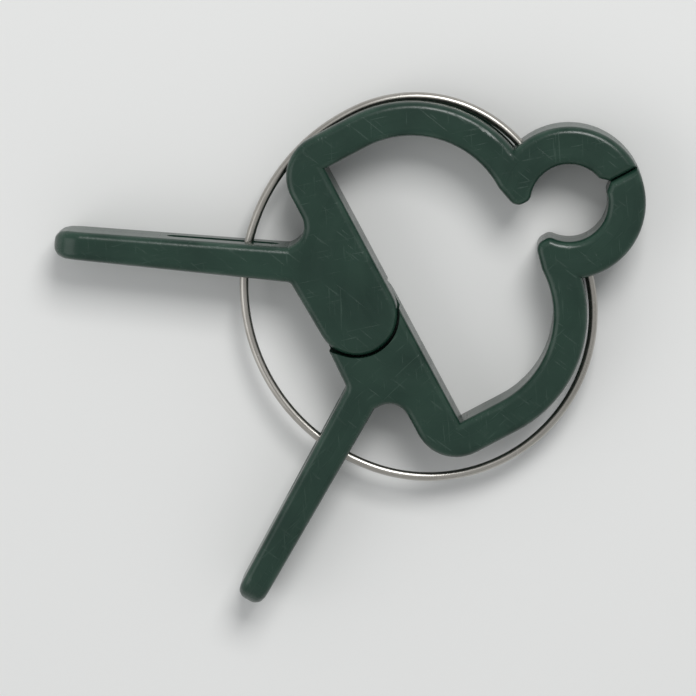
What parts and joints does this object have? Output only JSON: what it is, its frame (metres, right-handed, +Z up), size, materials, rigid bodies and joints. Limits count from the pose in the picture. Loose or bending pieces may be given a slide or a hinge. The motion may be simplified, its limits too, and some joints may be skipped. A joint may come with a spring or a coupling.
{
  "type": "orchid clip",
  "caption": "Small plastic spring clip with a D-shaped loop, a round stem eye and two finger levers on a half-lap hinge, held shut by a ring of spring wire.",
  "frame": {"origin": "under the middle of the clip's bounding box, on the plane of its lower face", "axes": "+Y along the clip's long axis from the levers to the stem eye, +Z up, square to the clip's face and along the hinge axis, +X to the right jaw"},
  "size_m": [0.0286, 0.0374, 0.005],
  "materials": {
    "green_plastic": "moulded, satin",
    "spring_wire": "drawn wire, bright"
  },
  "bodies": {
    "jaw_left": {"jaw_left": "green_plastic"},
    "jaw_right": {"jaw_right": "green_plastic"},
    "ring_spring": {"ring_spring": "spring_wire"}
  },
  "joints": [
    {"name": "jaw_hinge", "type": "hinge", "parent": "jaw_left", "child": "jaw_right", "pos_m": [0, -0.00263, 0.0025], "axis": [0, 0, -1], "range_deg": [0, 40], "stiffness_Nm_per_rad": 0.05, "springref_deg": -22.92, "deforming": ["ring_spring"]},
    {"name": "ring_turn", "type": "hinge", "parent": "jaw_left", "child": "ring_spring", "pos_m": [0, -0.00263, 0.0025], "axis": [0, 0, -1], "range_deg": [0, 20]}
  ],
  "couplings": [
    {"joint": "ring_turn", "follows": "jaw_hinge", "ratio": 0.5}
  ]
}
